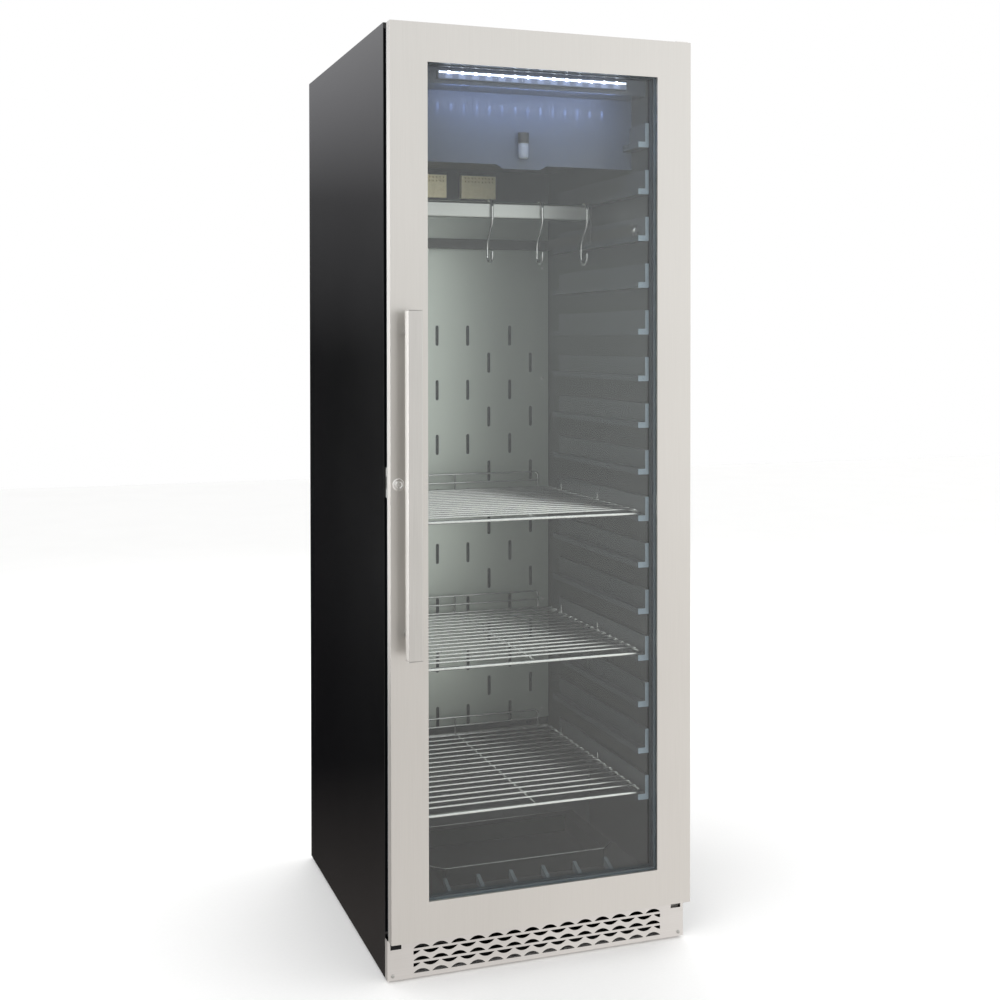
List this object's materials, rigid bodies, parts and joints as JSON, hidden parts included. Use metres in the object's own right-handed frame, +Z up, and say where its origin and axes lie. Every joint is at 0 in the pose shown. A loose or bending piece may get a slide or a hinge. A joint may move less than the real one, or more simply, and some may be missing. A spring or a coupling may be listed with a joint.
{
  "type": "dry aging cabinet",
  "caption": "Tall free-standing dry aging cabinet: framed glass door with bar handle and lock, wire shelves, hanging rail with meat hooks, salt tray and slotted kickplate.",
  "frame": {"origin": "middle of the base of the whole box, handle included, on the floor", "axes": "+Z up, the door faces -Y, +X to the right seen from the front"},
  "size_m": [0.595, 0.751, 1.74],
  "materials": {
    "casing_black": "satin powder coat",
    "zinc_sheet": "galvanised sheet",
    "stainless": "brushed stainless steel",
    "liner_black": "moulded matt black",
    "frame_black": "matt black profile",
    "foam": null,
    "glass": "clear insulating glass",
    "spacer": "anodised dark",
    "seal": "soft black seal",
    "chrome_wire": "polished wire",
    "zinc_steel": "zinc plated",
    "filter_body": "cream filter housing",
    "fascia": "smooth black",
    "aluminium": "bare aluminium",
    "led_lens": "frosted lens",
    "probe_body": "light grey",
    "copper": "bare copper tube",
    "compressor_black": "gloss black enamel",
    "plastic_black": "moulded black",
    "plastic_grey": "moulded grey",
    "plastic_white": "acetal"
  },
  "bodies": {
    "cabinet": {"left_side_panel": "casing_black", "right_side_panel": "casing_black", "top_panel": "casing_black", "rear_panels": "zinc_sheet", "base_pan": "zinc_sheet", "insulation_foam": "foam", "front_frame": "frame_black", "inner_liner": "liner_black", "liner_floor": "liner_black", "liner_step": "liner_black", "shelf_runners": "liner_black", "rear_air_panel": "stainless", "upper_duct_cover": "plastic_black", "panel_screws": "zinc_steel", "carbon_filters": "filter_body", "fascia_panel": "fascia", "led_channel": "aluminium", "led_lens": "led_lens", "probe_holder": "plastic_black", "humidity_probe": "probe_body", "drip_tray": "plastic_black", "evaporator_coil": "aluminium", "condenser_coil": "aluminium", "fan_frames": "plastic_black", "compressor": "compressor_black", "refrigerant_pipes": "copper", "control_box": "plastic_grey", "power_inlet": "plastic_black", "kickplate": "stainless", "hinge_plug": "plastic_black", "hinge_brackets": "casing_black", "hinge_pins": "zinc_steel", "lock_keeper": "zinc_steel"},
    "door": {"door_skin": "stainless", "door_core": "frame_black", "door_inner_frame": "frame_black", "door_gasket": "seal", "glass_panes": "glass", "glass_spacer": "spacer", "door_handle": "stainless", "handle_screws": "zinc_steel", "lock_barrel": "zinc_steel", "hinge_bushes": "plastic_white"},
    "lock": {"lock_plug": "zinc_steel"},
    "rack": {"rack_frame": "stainless", "rack_knobs": "chrome_wire", "hanging_rail": "stainless"},
    "left_hook": {"hook_left": "chrome_wire"},
    "middle_hook": {"hook_middle": "chrome_wire"},
    "right_hook": {"hook_right": "chrome_wire"},
    "upper_shelf": {"shelf_upper": "chrome_wire"},
    "middle_shelf": {"shelf_middle": "chrome_wire"},
    "lower_shelf": {"shelf_lower": "chrome_wire"},
    "tray": {"salt_tray": "stainless"},
    "evaporator_fan": {"evaporator_fan_rotor": "plastic_black"},
    "condenser_fan": {"condenser_fan_rotor": "plastic_black"},
    "front_left_foot": {"foot_front_left": "plastic_black"},
    "front_right_foot": {"foot_front_right": "plastic_black"},
    "rear_left_foot": {"foot_rear_left": "plastic_black"},
    "rear_right_foot": {"foot_rear_right": "plastic_black"}
  },
  "joints": [
    {"name": "door_swing", "type": "hinge", "parent": "cabinet", "child": "door", "pos_m": [0.282, -0.3025, 0.9], "axis": [0, 0, 1], "range_deg": [0, 110]},
    {"name": "lock_turn", "type": "hinge", "parent": "door", "child": "lock", "pos_m": [-0.2832, -0.3, 0.9085], "axis": [0, 1, 0], "range_deg": [0, 90]},
    {"name": "rack_slide", "type": "slide", "parent": "cabinet", "child": "rack", "axis": [0, -1, 0], "range_m": [-0.01, 0.028]},
    {"name": "left_hook_slide", "type": "slide", "parent": "rack", "child": "left_hook", "axis": [1, 0, 0], "range_m": [-0.19, 0.045]},
    {"name": "middle_hook_slide", "type": "slide", "parent": "rack", "child": "middle_hook", "axis": [1, 0, 0], "range_m": [-0.05, 0.045]},
    {"name": "right_hook_slide", "type": "slide", "parent": "rack", "child": "right_hook", "axis": [1, 0, 0], "range_m": [-0.045, 0.002]},
    {"name": "upper_shelf_slide", "type": "slide", "parent": "cabinet", "child": "upper_shelf", "axis": [0, -1, 0], "range_m": [-0.006, 0.01]},
    {"name": "middle_shelf_slide", "type": "slide", "parent": "cabinet", "child": "middle_shelf", "axis": [0, -1, 0], "range_m": [-0.006, 0.01]},
    {"name": "lower_shelf_slide", "type": "slide", "parent": "cabinet", "child": "lower_shelf", "axis": [0, -1, 0], "range_m": [-0.006, 0.01]},
    {"name": "tray_lift", "type": "slide", "parent": "cabinet", "child": "tray", "axis": [0, 0, 1], "range_m": [0, 0.08]},
    {"name": "evaporator_fan_spin", "type": "hinge", "parent": "cabinet", "child": "evaporator_fan", "pos_m": [0, -0.01, 1.605], "axis": [0, 1, 0], "continuous": true},
    {"name": "condenser_fan_spin", "type": "hinge", "parent": "cabinet", "child": "condenser_fan", "pos_m": [0.145, 0.175, 0.091], "axis": [0, 1, 0], "continuous": true},
    {"name": "front_left_foot_level", "type": "slide", "parent": "cabinet", "child": "front_left_foot", "axis": [0, 0, -1], "range_m": [0, 0.015]},
    {"name": "front_right_foot_level", "type": "slide", "parent": "cabinet", "child": "front_right_foot", "axis": [0, 0, -1], "range_m": [0, 0.015]},
    {"name": "rear_left_foot_level", "type": "slide", "parent": "cabinet", "child": "rear_left_foot", "axis": [0, 0, -1], "range_m": [0, 0.015]},
    {"name": "rear_right_foot_level", "type": "slide", "parent": "cabinet", "child": "rear_right_foot", "axis": [0, 0, -1], "range_m": [0, 0.015]}
  ]
}
